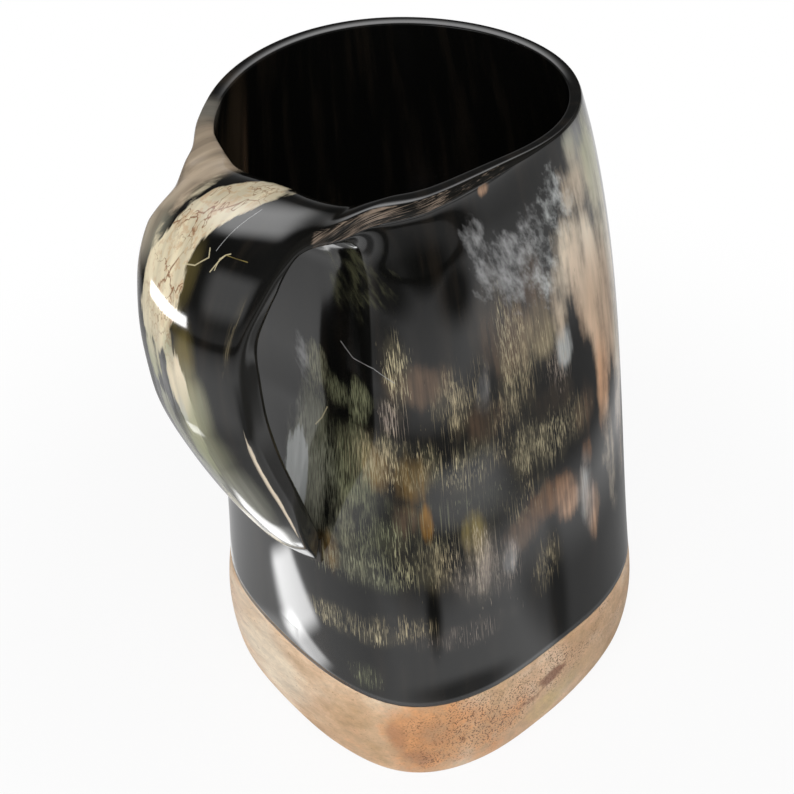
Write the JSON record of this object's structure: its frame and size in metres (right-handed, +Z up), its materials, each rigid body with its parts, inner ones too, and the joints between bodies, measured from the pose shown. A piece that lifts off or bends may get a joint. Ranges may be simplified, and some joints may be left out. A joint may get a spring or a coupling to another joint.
{
  "type": "horn drinking cup",
  "caption": "Tall drinking cup cut from a wide animal horn, with a strap of the same horn bent over into a handle and a wooden foot that closes the wide end.",
  "frame": {"origin": "on the flat underside of the wooden foot, below the middle of the horn's wide end", "axes": "+Z up to the mouth, -X towards the strap handle, +Y to the side that the mouth leans to"},
  "size_m": [0.1238, 0.0963, 0.1571],
  "materials": {
    "horn": "polished and lacquered horn, near black with cream, grey and amber streaks",
    "wood": "sanded pale hardwood with fine dark pores under a thin satin coat",
    "resin": "poured dark sealing resin, glossy",
    "glue": "thin dark bond line"
  },
  "bodies": {
    "root": {"horn_body": "horn", "horn_handle": "horn", "wood_base": "wood", "floor_resin": "resin", "seam_glue": "glue", "tip_glue": "glue"}
  },
  "joints": []
}
